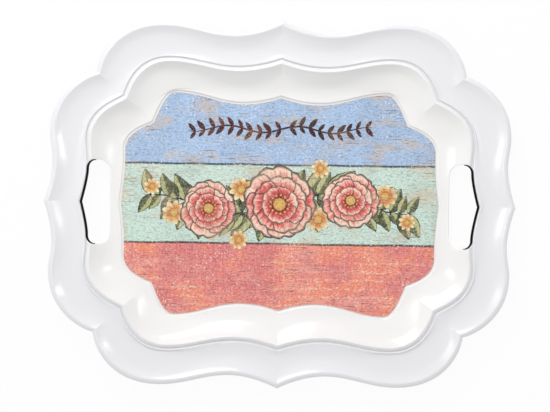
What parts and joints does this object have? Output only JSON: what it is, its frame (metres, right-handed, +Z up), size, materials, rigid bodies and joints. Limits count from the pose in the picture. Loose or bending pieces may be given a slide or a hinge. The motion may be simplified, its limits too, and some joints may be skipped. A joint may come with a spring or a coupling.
{
  "type": "serving tray",
  "caption": "White scalloped serving tray with a rolled lip, two coves with a ridge between them, a hand slot at each end and a printed panel in its sunk floor.",
  "frame": {"origin": "on the table under the middle of the tray", "axes": "+X to the right hand slot, +Y to the back, +Z up"},
  "size_m": [0.46, 0.359, 0.0245],
  "materials": {
    "body_white": "gloss white moulding",
    "adhesive": "pale double-sided sheet",
    "print": "printed board, aged painted ground with blossoms",
    "cover_film": "clear satin film",
    "grip_black": "matt black",
    "pad_rubber": "matt dark grey"
  },
  "bodies": {
    "root": {"tray_body": "body_white", "adhesive_sheet": "adhesive", "printed_panel": "print", "clear_cover": "cover_film", "grip_strip_left": "grip_black", "grip_strip_right": "grip_black", "foot_pad_1": "pad_rubber", "foot_pad_2": "pad_rubber", "foot_pad_3": "pad_rubber", "foot_pad_4": "pad_rubber"}
  },
  "joints": []
}
